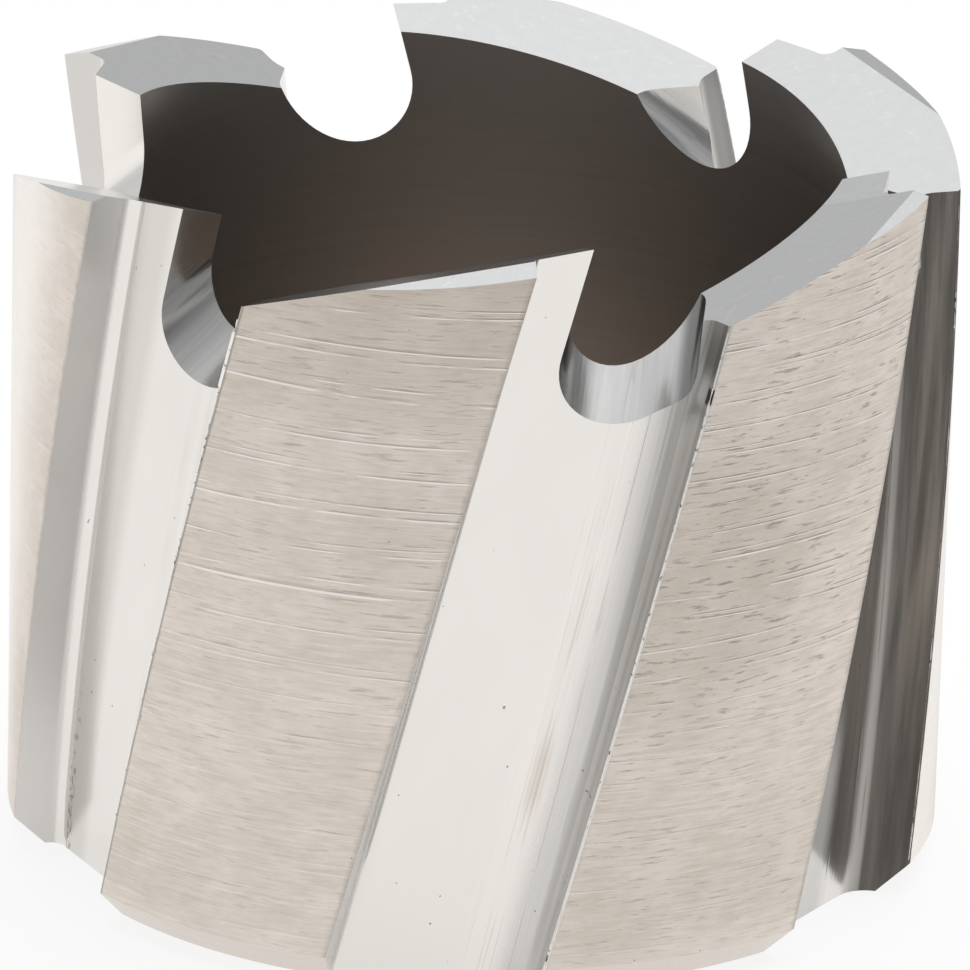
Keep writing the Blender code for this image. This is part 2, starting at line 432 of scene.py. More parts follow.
def upright_line(tree, given):
    """A line up the axis between the two named heights."""
    ends = [tree.add("ShaderNodeCombineXYZ", inputs={"Z": given[name]}) for name in ("Bottom", "Top")]
    return tree.add("GeometryNodeCurvePrimitiveLine", inputs={"Start": ends[0], "End": ends[1]})


# %% Repeat and mark pieces of the body
def around(tree, given, name, first=0, step=1):
    """Copies of a named input object about the axis, on every step-th tooth."""
    index = tree.add("GeometryNodeInputIndex")
    shape = tree.add("GeometryNodeObjectInfo", inputs={"Object": given[name]}, output="Geometry")
    points = tree.add("GeometryNodePoints", inputs={"Count": given["Teeth"] / step})
    turn = (index * step + first) / given["Teeth"] * math.tau
    turned_by = tree.add("ShaderNodeCombineXYZ", inputs={"Z": turn})
    copies = {"Points": points, "Instance": shape, "Rotation": turned_by}
    copies = tree.add("GeometryNodeInstanceOnPoints", inputs=copies)
    return tree.add("GeometryNodeRealizeInstances", inputs={"Geometry": copies})


def zoned(mesh, zone):
    """The mesh with this zone number stored on its faces."""
    facts = {"data_type": "INT", "domain": "FACE"}
    inputs = {"Geometry": mesh, "Name": "zone", "Value": zone}
    return mesh.tree.add("GeometryNodeStoreNamedAttribute", facts, inputs)


# %% The twisted bar
def twisted_bar(tree, given):
    """The section swept up the axis with its twist, its faces marked as flute or land."""
    ring = {"Geometry": around(tree, given, "Section"), "Distance": SAME_POINT}
    ring = tree.add("GeometryNodeMergeByDistance", inputs=ring)
    ring = tree.add("GeometryNodeMeshToCurve", inputs={"Mesh": ring})
    rail = upright_line(tree, given)
    rail = tree.add("GeometryNodeResampleCurve", inputs={"Curve": rail, "Count": given["Layers"]})
    position = tree.add("GeometryNodeInputPosition")
    height = tree.add("ShaderNodeSeparateXYZ", inputs={0: position}, output="Z")
    tilt = (height - given["Tip height"]) * given["Twist per metre"]
    rail = tree.add("GeometryNodeSetCurveTilt", inputs={"Curve": rail, "Tilt": tilt})
    bar = {"Curve": rail, "Profile Curve": ring, "Fill Caps": True}
    bar = tree.add("GeometryNodeCurveToMesh", inputs=bar)

    # A face of the bar whose middle lies below the outer radius is flute, and others are land.
    flat = tree.add("ShaderNodeVectorMath", {"operation": "MULTIPLY"}, {0: position, 1: (1, 1, 0)})
    reach = tree.add("ShaderNodeVectorMath", {"operation": "LENGTH"}, {0: flat}, "Value")
    inner = {0: reach, 1: given["Outer radius"] - LAND_SKIN}
    return zoned(bar, tree.add("FunctionNodeCompare", {"operation": "LESS_THAN"}, inner))


# %% The node tree of the cutter
def cutter_tree(materials):
    """The tree that repeats, twists and cuts the body, and gives each zone its material."""
    group, tree, leave, given = fresh_tree("fluted_cutter", SETTINGS)
    cut_by = [zoned(around(tree, given, "Gullet"), ZONES.index("gullet"))]
    for first, name in enumerate(("Even facets", "Odd facets")):
        cut_by.append(zoned(around(tree, given, name, first, 2), ZONES.index("facet")))
    shape = tree.add("GeometryNodeObjectInfo", inputs={"Object": given["Blank"]}, output="Geometry")
    body = {"Mesh 2": [twisted_bar(tree, given), zoned(shape, ZONES.index("turned"))]}
    body = tree.add("GeometryNodeMeshBoolean", {"operation": "INTERSECT", "solver": SOLVER}, body)
    for tool in cut_by:
        body = {"Mesh 1": body, "Mesh 2": tool}
        body = tree.add("GeometryNodeMeshBoolean", {"operation": "DIFFERENCE", "solver": SOLVER}, body)
    body = tree.add("GeometryNodeRealizeInstances", inputs={"Geometry": body})
    zone = tree.add("GeometryNodeInputNamedAttribute", {"data_type": "INT"}, {"Name": "zone"})
    equal = {"data_type": "INT", "operation": "EQUAL"}
    for number, material in enumerate(materials):
        chosen = tree.add("FunctionNodeCompare", equal, {2: zone, 3: number})
        body = {"Geometry": body, "Selection": chosen, "Material": material}
        body = tree.add("GeometryNodeSetMaterial", inputs=body)
    tree.links.new(body.socket, leave.inputs[0])
    return group


# %% Grow a plain mesh from a tree
def grown(name, group, settings):
    """The plain mesh object that a tree makes with these settings."""
    maker = mesh_object(name, [])
    modifier = maker.modifiers.new("grow", "NODES")
    modifier.node_group = group
    for item in group.interface.items_tree:
        if item.name in settings:
            modifier[item.identifier] = settings[item.name][1]
    graph = bpy.context.evaluated_depsgraph_get()
    mesh = bpy.data.meshes.new_from_object(maker.evaluated_get(graph))
    maker.modifiers.remove(modifier)
    maker.data = mesh
    return maker


# %% [markdown]
# A cut leaves odd little faces along its edges, and shading that is averaged from them looks
# dented on polished steel. Every surface here has a known rule, so each corner gets the
# normal of the real surface instead: the twisted section's, the slot's or the lathe's. The
# facets are flat and keep their own.

# %% Normals along the stretches
def nearest(stretches, places):
    return np.argmin([stretch.distance(places) for stretch in stretches], axis=0)


def stretch_normals(stretches, chosen, places):
    """Normals at places, each by the rule of the stretch that was chosen for it."""
    found = np.zeros_like(places)
    for number, stretch in enumerate(stretches):
        on = chosen == number
        if on.any():
            found[on] = stretch.normals(places[on])
    return found


def turn_of(points):
    return np.arctan2(points[:, 0], -points[:, 1])


def reach_and_height(points):
    return np.column_stack((np.hypot(points[:, 0], points[:, 1]), points[:, 2]))


# %% Normals of the flutes and the turned faces
def section_place(points, face_centres):
    """Forward and outward of points, in the pitch that each one's face lies in, and its turn."""
    def angle(of):
        return turn_of(of) - (of[:, 2] - BODY_HEIGHT) * TWIST

    pitch_of_face = np.floor((angle(face_centres) + LAND / 2) / PITCH) * PITCH
    local = (angle(points) - pitch_of_face + math.pi) % math.tau - math.pi
    reach = np.hypot(points[:, 0], points[:, 1])
    return np.column_stack((reach * np.sin(local), reach * np.cos(local))), turn_of(points) - local


def turned_back(flat, turn):
    """World x and y of vectors given as forward and outward."""
    forward, outward = flat[:, 0], flat[:, 1]
    x = forward * np.cos(turn) + outward * np.sin(turn)
    return np.column_stack((x, forward * np.sin(turn) - outward * np.cos(turn)))


def twisted_normals(points, centres):
    """A flute's normals: those of its section, leaned by the twist."""
    places, turn = section_place(points, centres)
    middles, _ = section_place(centres, centres)
    flat = turned_back(stretch_normals(flute, nearest(flute, middles), places), turn)
    rise = -TWIST * (flat[:, 1] * points[:, 0] - flat[:, 0] * points[:, 1])
    return np.column_stack((flat, rise))


def turned_normals(points, centres):
    """The lathe's normals: those of the turned profile, spun round the axis."""
    places = reach_and_height(points)
    flat = -stretch_normals(turned, nearest(turned, reach_and_height(centres)), places)
    return np.column_stack((points[:, :2] / places[:, :1] * flat[:, :1], flat[:, 1]))


# %% Normals of the gullets
bowl_low = bowl[GULLET_STEPS // 2]
slot_sides = [
    Stretch(slot[0], bowl[0]), Stretch(bowl[0], bowl_low, (0, 0)),
    Stretch(bowl_low, bowl[-1], (0, 0)), Stretch(bowl[-1], slot[-1]),
]


def slot_normals(points, centres):
    """A gullet's normals: those of the slot's outline, leaned by its slope."""
    middle = math.atan2(centre_forward, ROOT)
    turn = np.round((turn_of(centres) - middle) / PITCH) * PITCH

    def across(of):
        forward = of[:, 0] * np.cos(turn) + of[:, 1] * np.sin(turn)
        outward = of[:, 0] * np.sin(turn) - of[:, 1] * np.cos(turn)
        drop = (outward - ROOT) * math.tan(SLOPE)
        sideways = forward - centre_forward + drop * math.tan(LEAN)
        return np.column_stack((sideways, of[:, 2] - centre_height + drop))

    flat = stretch_normals(slot_sides, nearest(slot_sides, across(centres)), across(points))
    outward = (flat[:, 0] * math.tan(LEAN) + flat[:, 1]) * math.tan(SLOPE)
    return np.column_stack((turned_back(np.column_stack((flat[:, 0], outward)), turn), flat[:, 1]))


def radial_normals(points, centres):
    """A land's normals: straight out from the axis."""
    return np.column_stack((points[:, :2], np.zeros(len(points))))


RULES = {"land": radial_normals, "flute": twisted_normals}
RULES |= {"gullet": slot_normals, "turned": turned_normals}


# %% Set the true normals
def read(items, name, kind, width=1):
    """One value or vector of each item, as an array."""
    values = np.empty(len(items) * width, kind)
    items.foreach_get(name, values)
    return values.reshape(-1, width) if width > 1 else values


def set_true_normals(mesh):
    """Sets the rule's normal on every corner, and prints how far it is from the flat face's."""
    corners = read(mesh.loops, "vertex_index", np.int32)
    points = read(mesh.vertices, "co", np.float64, 3)[corners]
    sizes = read(mesh.polygons, "loop_total", np.int32)
    centres = np.repeat(read(mesh.polygons, "center", np.float64, 3), sizes, axis=0)
    flat = np.repeat(read(mesh.polygons, "normal", np.float64, 3), sizes, axis=0)
    zones = np.repeat(read(mesh.attributes["zone"].data, "value", np.int32), sizes)
    normals = flat.copy()
    for zone, rule in RULES.items():
        on = zones == ZONES.index(zone)
        found = rule(points[on], centres[on])
        normals[on] = found / np.linalg.norm(found, axis=1)[:, None]
        least = min((normals[on] * flat[on]).sum(axis=1).min(), 1)
        worst = math.degrees(math.acos(least))
        print(f"{zone}: surface normals at most {worst:.1f} degrees off the faces' own")
    mesh.shade_smooth()
    mesh.normals_split_custom_set(normals)


# %% [markdown]
# The camera stands well back with a long lens, about 18 degrees above the back face, as a
# camera fitted to the photograph says. Its place is given relative to the tip plane, on the
# cutter's axis, and it is panned, tilted and rolled a little from looking straight at it. The
# fit gives the angles in radians and the focal length in pixels of the photo.

# %% Camera
ELEVATION, DISTANCE = 0.3139971, 21.23548 * OUTER_RADIUS
ROLL, PAN, TILT, TURN = 0.02640554, 0.00056176, -0.03583933, 0.10527161
FOCAL_PIXELS, IMAGE_PIXELS = 10071.608, 970

place = Vector((0, -math.cos(ELEVATION), math.sin(ELEVATION))) * DISTANCE
ahead, right = -place.normalized(), Vector((1, 0, 0))
ahead = (ahead + PAN * right + TILT * right.cross(ahead)).normalized()
right = ahead.cross(right.cross(-place.normalized())).normalized()
up = right.cross(ahead)
sideways = math.cos(ROLL) * right + math.sin(ROLL) * up
upright = math.cos(ROLL) * up - math.sin(ROLL) * right
aim = Matrix((sideways, upright, -ahead)).transposed().to_4x4()
aim.translation = place

camera = bpy.data.objects.new("camera", bpy.data.cameras.new("camera"))
camera.data.sensor_width = 36
camera.data.lens = FOCAL_PIXELS / IMAGE_PIXELS * camera.data.sensor_width
camera.data.clip_start, camera.data.clip_end = 0.05, 20
camera.matrix_world = Matrix.Translation((0, 0, BODY_HEIGHT)) @ Matrix.Rotation(-TURN, 4, "Z") @ aim
bpy.context.scene.collection.objects.link(camera)
bpy.context.scene.camera = camera
print("Lens in mm:", round(camera.data.lens, 1))


# %% [markdown]
# Every finish reads the same few places, worked out from the Object coordinates: the height,
# the way round from the tooth's face, and the number of the pitch, which holds a flute and the
# land ahead of it. Number 0 begins at the front tooth, and they grow to the right. The first
# two follow the helix, so a mask on them runs along a flute or an edge. All are in millimetres.

# %% Places on the cutter for the finishes
FACE_OVERLAP = 0.0005


def material_tree(name):
    material = bpy.data.materials.new(name)
    material.use_nodes = True
    tree = Tree(material.node_tree)
    return material, tree, material.node_tree.nodes["Principled BSDF"]


def feed(shader, **inputs):
    """Sets or links the sockets of a shader by name, as in base_color for Base Color."""
    for name, value in inputs.items():
        socket = shader.inputs[name.replace("_", " ").title().replace("Ior", "IOR")]
        if isinstance(value, Value):
            value.tree.links.new(value.socket, socket)
        else:
            socket.default_value = value


def object_place(tree):
    """Object coordinates of the shaded point: x, y and z."""
    point = tree.add("ShaderNodeTexCoord", output="Object")
    return tree.add("ShaderNodeSeparateXYZ", inputs={0: point}, output=("X", "Y", "Z"))


def reach_of(x, y):
    """Distance from the axis in millimetres."""
    return (x * x + y * y).maths("SQRT") / MM


def places(tree):
    """Height, distance forward of the face round the outside, number of the pitch, and reach."""
    x, y, z = object_place(tree)
    height = z / MM
    twist = (height - BODY_HEIGHT / MM) * (TWIST * MM)
    # The small overlap keeps the face itself in the pitch that it opens.
    turn = x.maths("ARCTAN2", 0 - y) - twist + FACE_OVERLAP
    forward = (turn % PITCH) * (OUTER_RADIUS / MM)
    return height, forward, (turn / PITCH).maths("FLOOR"), reach_of(x, y)


# %% Noise, mixed colours and bumps
def noise(x, y, z, detail=2.0, roughness=0.5):
    """Noise from 0 to 1 at this place. A larger factor on a coordinate makes it finer that way,
    and a number added to one only picks another slice of it."""
    place = x.tree.add("ShaderNodeCombineXYZ", inputs={0: x, 1: y, 2: z})
    inputs = {"Vector": place, "Scale": 1.0, "Detail": detail, "Roughness": roughness}
    return x.tree.add("ShaderNodeTexNoise", inputs=inputs)


def blend(share, first, second):
    """Mixes two colours by a number, and gives the colour."""
    colours = [(*each, 1) if isinstance(each, tuple) else each for each in (first, second)]
    inputs = {0: share, 6: colours[0], 7: colours[1]}
    return share.tree.add("ShaderNodeMix", {"data_type": "RGBA"}, inputs, 2)


def bump(height, distance, strength=1.0):
    inputs = {"Height": height, "Distance": distance, "Strength": strength}
    return height.tree.add("ShaderNodeBump", inputs=inputs)


# %% [markdown]
# No finish is even, and each tooth of the photo has marks of its own. Three kinds of mask
# place them all: a thread along one level of a value, a span between two levels, and a pitch.
# A finish then lays named colours over its ground, each by the share of its own mask.

# %% Masks and layers
def thread(value, level, width):
    """1 where the value passes the level, 0 further than width from it."""
    return 1 - abs(value - level).step(width * 0.3, width)


def span(value, low, high, soft):
    """1 between low and high, 0 outside, with soft edges of this width."""
    return value.step(low - soft, low) * value.step(high + soft, high)


def on_pitch(pitch, *numbers):
    """For each number a mask that is 1 on the pitch with that number."""
    return [thread(pitch, number, 0.5) for number in numbers]


def layered(colour, **layers):
    """The colour with the layers over it in turn, each given as its share and its colour."""
    for share, other in layers.values():
        colour = blend(share, colour, other)
    return colour


def finish(recipe):
    """A material named after its recipe, a function that gives the inputs of the shader."""
    material, tree, shader = material_tree(recipe.__name__)
    feed(shader, **recipe(tree))
    print(f"{material.name}: {len(material.node_tree.nodes)} nodes")
    return material


# %% [markdown]
# The lands were ground round the body. The wheel left fine lines along the cut, a few long
# grooves and short dark tears, and the steel has a warm grey tone. Stretched noise gives each of
# them: very fine across the lines and slow along them. The long grooves lie where a wavering ramp
# of the height passes a set value, so they stay thin; each is a painted highlight line with a
# painted shade line beside it. The land on the right was ground more coarsely, and the ones at
# both sides of the picture get a painted highlight where the photo is burnt out.

# %% Marks on the lands
HEEL_PLACE, PITCH_PLACE = FLUTE * OUTER_RADIUS / MM, PITCH * OUTER_RADIUS / MM


def grinding_lines(height, along, pitch, left):
    """Fine lines, finer hairs between them, and the grain that the tears come from."""
    fine = noise(along * 0.45, height * 6.5, pitch, 4.0, 0.62)
    hair = noise(along, height * 17.0, 31.0, 2.0)
    grain = noise(along * (0.85 - left * 0.3), height * (left * 0.8 + 6.5), 5.0, 4.0, 0.65)
    return fine, hair, grain


def grooves(height, along, pitch, calm, left, coarse):
    """Painted highlights of the long grooves and painted shade lines beside them, broken here and
    there.
    """
    waver = noise(along * 0.04, height * 0.42, pitch * 3.0 + 17.0, 1.0)
    ramp = (height * (coarse * 0.45 + left * 0.1 + 0.62) + waver * (1.15 - left * 0.45)) % 1
    broken = noise(along * 0.34, height * 1.9, pitch + 23.0, 3.0, 0.6)
    strong = (height.step(8.0, 14.5) * 0.65 + 0.35) * (1 - calm * 0.8)
    # The bright thread is a painted highlight and the dark one painted shade beside it.
    bright = thread(ramp, 0.30, 0.034) + thread(ramp, 0.52, 0.024)
    dark = thread(ramp, 0.36, 0.04) + thread(ramp, 0.57, 0.034)
    return bright * broken.step(0.42, 0.56) * strong, dark * broken.step(0.44, 0.60) * strong


def rubbed_patches(height, forward, along, left, coarse):
    """Browner patches: some by chance, and those that the photo shows on the front lands."""
    patches = noise(along * 0.16, height * 0.17, 47.0, 2.0).step(0.47, 0.72) * 0.42
    patches = patches + left * height.step(17.5, 23.0) * 0.7
    patches = patches + coarse * thread(height, 14.0, 7.5) * forward.step(15.5, 10.0) * 0.8
    return patches + coarse * height.step(9.0, 4.0) * 0.25


def worn_edges(height, forward, pitch, left, coarse):
    """Dark ragged lines along the heel and cutting edges: partly wear, partly painted edge shade."""
    ragged = noise(forward * 4.0, height * 2.2, pitch + 71.0, 3.0) * 0.34
    worn = (forward - ragged).step(HEEL_PLACE + 0.02, HEEL_PLACE - 0.10) * (1 - coarse * 0.8) * 0.75
    worn = worn.most(left * forward.step(HEEL_PLACE + 0.20, HEEL_PLACE + 0.13) * 0.75)
    return worn.most((forward + ragged).step(PITCH_PLACE - 0.08, PITCH_PLACE + 0.22) * 0.5)


# %% Ground lands
def ground_land(tree):
    height, forward, pitch, _ = places(tree)
    # The shift gives each land its own stretch of the noise.
    along = forward + pitch * 29.0
    calm, left, coarse, far_right = on_pitch(pitch, -2, -1, 0, 1)
    rubbed = rubbed_patches(height, forward, along, left, coarse)
    cloud = noise(along * 0.55, height * 0.55, 4.0, 3.0)
    smudge = noise(along * 1.3, height * 2.6, 9.0, 4.0, 0.6)
    fine, hair, grain = grinding_lines(height, along, pitch, left)
    bright, dark = grooves(height, along, pitch, calm, left, coarse)
    tears = grain.step(0.54, 0.68) * (rubbed * 0.16 + cloud).step(0.38, 0.58) * (1 - calm * 0.6)
    tear_share = (height.step(4.0, 14.0) * (coarse * 0.25 + 0.15) + 0.42) * (1 - left * 0.2)
    pits = noise(along * 5.0, height * 7.0, 41.0, 1.0).step(0.80, 0.83)
    # Painted highlight: the two side lands are turned almost white in places.
    pale = calm * span(forward, 10.5, 12.0, 4.5) * 0.75 + far_right * forward.step(14.5, 8.5) * 0.7

    tone = (fine - 0.5) * (coarse * 0.45 + left * 0.2 + 0.45)
    tone = (tone + (hair - 0.5) * 0.3 + (grain - 0.5) * 0.4) * (1 - calm * 0.6)
    tone = tone + (cloud - 0.5) * 0.36 + (smudge - 0.5) * 0.30
    colour = blend((tone + 0.5).step(0.05, 0.95), (0.60, 0.54, 0.485), (0.905, 0.845, 0.79))
    colour = layered(
        colour,
        cool_sheen=((smudge - 0.5).step(0.04, 0.3) * 0.3, (0.80, 0.81, 0.82)),
        warm_clouds=(cloud.step(0.48, 0.68) * 0.25, (0.84, 0.765, 0.715)),
        rubbed_brown=(rubbed * (fine * 0.7 + 0.08), (0.50, 0.44, 0.38)),
        # Painted shade lines beside the grooves.
        dark_grooves=(dark * (coarse * 0.3 + 0.25), (0.36, 0.32, 0.28)),
        tears=(tears * tear_share, (0.33, 0.295, 0.26)),
        # Painted highlight lines of the grooves.
        bright_grooves=(bright * 0.78, (0.98, 0.96, 0.93)),
        # Painted highlight on the side lands.
        burnt_out=(pale * 0.85, (1.0, 0.985, 0.965)),
        lit_foot=(height.step(2.4, 0.9) * 0.22, (0.99, 0.93, 0.885)),
        # Partly wear and partly painted shade along the rounded edges.
        worn_edges=(worn_edges(height, forward, pitch, left, coarse), (0.33, 0.315, 0.295)),
        pits=(pits * 0.8, (0.12, 0.10, 0.09)),
    )
    relief = fine * 0.6 + hair * 0.2 + grain * 0.2 + bright * 0.4 - dark * 0.5 - tears * 0.4 - pits
    rough = fine * 0.14 + 0.34 - pale * 0.16
    normal = bump(relief, 0.010 * MM)
    return dict(base_color=colour, metallic=0.94, roughness=rough, normal=normal)


finishes = [finish(ground_land)]

# %% [markdown]
# The flutes were milled and polished. They are almost mirrors, so most of what they show is
# the table and the studio. Faint lines run along each flute and gather at the heel. The rest
# is what the photo shows in single flutes: a duller band and dirt beside the left face, a
# nick, a stain and a warm tinge at the front, a painted highlight along the heel edges, painted
# shade on the heel walls, and on the right a heel wall and fillet darker still with painted shade.
# Where the steel looks milky, a lower metallic value dulls its mirror.

# %% Marks in the flutes
def flute_lines(height, forward, pitch, heel_side):
    """Fine and broad lines along the flute, and the scores on its heel side."""
    fine = noise(forward * 8.0, height * 0.09, pitch, 3.0, 0.6)
    broad = noise(forward * 2.0, height * 0.05, pitch + 3.0, 2.0)
    path = noise(forward * 1.7, height * 0.012, pitch * 5.0 + 8.0, 2.0)
    broken = noise(forward * 1.5, height * 0.22, pitch + 51.0, 2.0).step(0.42, 0.58)
    return fine, broad, thread(path, 0.47, 0.02) * broken * heel_side


def flute_spots(height, forward, reach, heel_side, left, front):
    """The dirt of the left flute, and the nick, stain and tinge of the front one."""
    grime = noise(forward * 6.0, height * 3.0, 7.0, 2.0) + height.step(4.0, 1.5) * 0.08
    dirt = grime.step(0.56, 0.63) * span(forward, 0.55, 0.85, 0.15) * height.step(8.5, 2.5) * left
    nick = span(height, 20.35, 20.75, 0.12) * span(reach, 15.6, 15.9, 0.08) * heel_side * front
    stain = span(forward, 5.55, 5.75, 0.35) * span(height, 6.6, 7.6, 1.3) * front
    tinge = span(forward, 5.0, 6.0, 0.7) * height.step(12.0, 5.0) * front
    return dirt, nick, stain, tinge


def hardening_scale(height, reach):
    """Colour of the painted shade on the right heel wall: streaks along the flute and a lighter line.
    """
    streaks = noise(reach * 3.2, height * 0.14, 3.0, 3.0, 0.6)
    colour = blend(streaks.step(0.3, 0.7), (0.20, 0.185, 0.17), (0.37, 0.345, 0.315))
    rub = thread(reach - height * 0.157, 13.70, 0.5) * height.step(13.5, 10.5)
    return layered(
        colour,
        rubbed_line=(rub * 0.55, (0.44, 0.40, 0.36)),
        # More painted shade, darker towards the bottom.
        dark_foot=(height.step(11.0, 4.0) * 0.5, (0.13, 0.12, 0.11)),
    )


# %% Polished flutes
def polished_flute(tree):
    height, forward, pitch, reach = places(tree)
    left, front, right, rear = on_pitch(pitch, -1, 0, 1, 2)
    face, heel_side = forward.step(0.10, 0.03), forward.step(3.9, 6.6)
    fillet, wall = forward.step(5.6, 6.6), forward.step(7.02, 7.12) * forward.step(7.29, 7.27)
    lines, broad, scored = flute_lines(height, forward, pitch, heel_side)
    dirt, nick, stain, tinge = flute_spots(height, forward, reach, heel_side, left, front)
    smear = noise(forward * 0.5, height * 0.25, pitch + 5.0, 3.0)
    specks = noise(forward * 4.0, height * 3.0, pitch + 61.0, 1.0).step(0.775, 0.80)
    dull = forward.step(0.54, 0.70) * forward.step(2.5, 1.6) * left
    low_heel = front * height.step(15.0, 3.0)
    milky = right * forward.step(5.3, 4.2) * height.step(8.0, 4.5)
    # Painted shade on the right heel wall and, at a little over half strength, on its fillet.
    scale = (forward.step(6.2, 6.9) * 0.55).most(forward.step(7.04, 7.14)) * right
    # A painted highlight along the heel edges, left out high on the front edge and low on the left.
    edge = reach.step(15.76, 15.79) * heel_side * (1 - right)
    edge = edge * (1 - front * height.step(20.2, 20.5)) * (1 - left * height.step(20.3, 20.0))

    shade = ((lines - 0.5) * 0.5 + (broad - 0.5) * 0.6) * heel_side
    shade = shade * (height.step(2.0, 15.0) * 0.7 + 0.3) + (smear - 0.5) * 0.10
    colour = blend((0.5 - shade).step(0.1, 0.9), (0.93, 0.912, 0.892), (0.70, 0.685, 0.665))
    colour = layered(
        colour,
        dull_band=(dull * 0.2, (0.30, 0.285, 0.255)),
        tinge=(tinge * 0.4, (0.88, 0.835, 0.815)),
        stain=(stain * (lines.step(0.3, 0.6) * 0.3 + 0.15), (0.50, 0.42, 0.35)),
        scores=(scored * 0.35, (0.36, 0.345, 0.32)),
        specks=(specks * 0.7, (0.15, 0.13, 0.11)),
        dirt=(dirt * 0.75, (0.30, 0.285, 0.26)),
        # Painted shade on the heel walls, less on the rear pitch and low on the front one.
        heel_wall=(wall * (1 - rear * 0.7) * (1 - low_heel * 0.7) * 0.55, (0.40, 0.405, 0.40)),
        # The right heel wall and fillet darkened with painted shade.
        scale=(scale, hardening_scale(height, reach)),
        bright_edge=(edge, (0.97, 0.96, 0.94)),
        nick=(nick, (0.06, 0.055, 0.05)),
    )
    rough = heel_side * 0.08 + lines * 0.07 + dull * 0.08 + scale * 0.1 + face * 0.18
    rough = rough + fillet * 0.08 + 0.09
    metal = 1 - face * 0.45 - low_heel * fillet * 0.45 - milky * 0.6
    relief = bump(lines * (heel_side + 0.15) - scored, 0.006 * MM, 0.7)
    return dict(base_color=colour, metallic=metal, roughness=rough, normal=relief)


finishes.append(finish(polished_flute))

# %% [markdown]
# The mill left its marks along the gullet, outwards and down. So their noise reads places in
# the slot's own outline, which change little that way. Painted shade greys the left gullet and
# darkens the front one where its bowl turns up to the heel. The steep walls are lighter than
# the bowl.

# %% Milled gullets
def slot_places(tree):
    """Place across and up in a gullet's outline, distance outwards, and number of the pitch."""
    x, y, z = object_place(tree)
    turn = x.maths("ARCTAN2", 0 - y)
    pitch = ((turn - math.atan2(centre_forward, ROOT)) / PITCH).maths("ROUND")
    reach, turn = reach_of(x, y), turn - pitch * PITCH
    forward, outward = reach * turn.maths("SINE"), reach * turn.maths("COSINE")
    drop = (outward - ROOT / MM) * math.tan(SLOPE)
    across = forward + drop * math.tan(LEAN) - centre_forward / MM
    return across, z / MM + drop - centre_height / MM, outward, pitch


def milled_gullet(tree):
    across, height, outward, pitch = slot_places(tree)
    rear, left, front = on_pitch(pitch, -2, -1, 0)
    marks = noise(across * 5.0, height * 5.0, outward * 0.3, 4.0, 0.62)
    mottle = noise(across * 0.9, height * 0.9, outward * 0.5 + 9.0, 3.0)
    path = noise(across * 1.3, height * 1.3, outward * 0.12 + 5.0, 2.0)
    scored = thread(path, 0.46, 0.02) * marks.step(0.45, 0.60)
    angle = height.maths("ARCTAN2", across)
    rise = angle.step(-2.10, -2.17) * height.step(0.5, 0.0)
    wall = height.step(0, 0.5).most(rear * across.step(-1.2, -1.7))

    tone = (marks - 0.5) * 0.8 + (mottle - 0.5) * 0.5 + 0.5
    colour = blend(tone.step(0.2, 0.8), (0.68, 0.685, 0.68), (0.83, 0.83, 0.825))
    colour = layered(
        colour,
        ledge_side=(rise * 0.15, (0.36, 0.36, 0.355)),
        # Painted shade over the whole left gullet.
        grey_left=(left * 0.32, (0.36, 0.36, 0.355)),
        # Painted shade where the front bowl turns up to the heel.
        dark_turn=(angle.step(-1.02, -0.66) * front * 0.72, (0.10, 0.105, 0.10)),
        # The steep walls are lighter than the bowl.
        clean_walls=(wall * (rear * 0.3 + 0.6), (0.90, 0.88, 0.855)),
        scores=(scored * (1 - wall) * 0.18, (0.20, 0.20, 0.195)),
    )
    relief = bump(marks - scored * 0.3, 0.008 * MM, 0.5)
    return dict(base_color=colour, metallic=1.0, roughness=marks * 0.1 + 0.15, normal=relief)


finishes.append(finish(milled_gullet))

# %% [markdown]
# The top facets are ground flat, a cool grey with hardly visible marks and a few scratches.
# Their noise runs across the tooth, as the wheel did, and those of the tooth on the right are
# a little greyer.

# %% Ground facets
def ground_facet(tree):
    _, forward, pitch, reach = places(tree)
    [coarse] = on_pitch(pitch, 0)
    marks = noise(forward * 12.0, reach * 2.0, pitch, 4.0, 0.6)
    mottle = noise(forward * 2.0, reach * 2.0, pitch + 7.0, 4.0, 0.6)
    path = noise(forward * 0.9 + reach * 0.9, reach * 0.35, pitch * 3.0, 2.0)
    scratches = thread(path, 0.5, 0.012) * mottle.step(0.45, 0.6)
    tone = (marks - 0.5) * 0.35 + (mottle - 0.5) * 0.35 + 0.5
    colour = blend(tone.step(0.15, 0.85), (0.68, 0.685, 0.69), (0.775, 0.78, 0.785))
    colour = layered(
        colour,
        scratches=(scratches * 0.22, (0.92, 0.92, 0.92)),
        greyer=(coarse * 0.22, (0.40, 0.40, 0.40)),
    )
    rough = marks * 0.08 + 0.12
    relief = bump(marks + mottle * 0.5, 0.002 * MM, 0.5)
    return dict(base_color=colour, metallic=1.0, roughness=rough, normal=relief)


finishes.append(finish(ground_facet))

# %% [markdown]
# The bore, the web and the back came off the lathe and were darkened when the steel was
# hardened: smooth, with turning lines round them, and brown in places. Only the chamfer at
# the back edge was ground bright again.

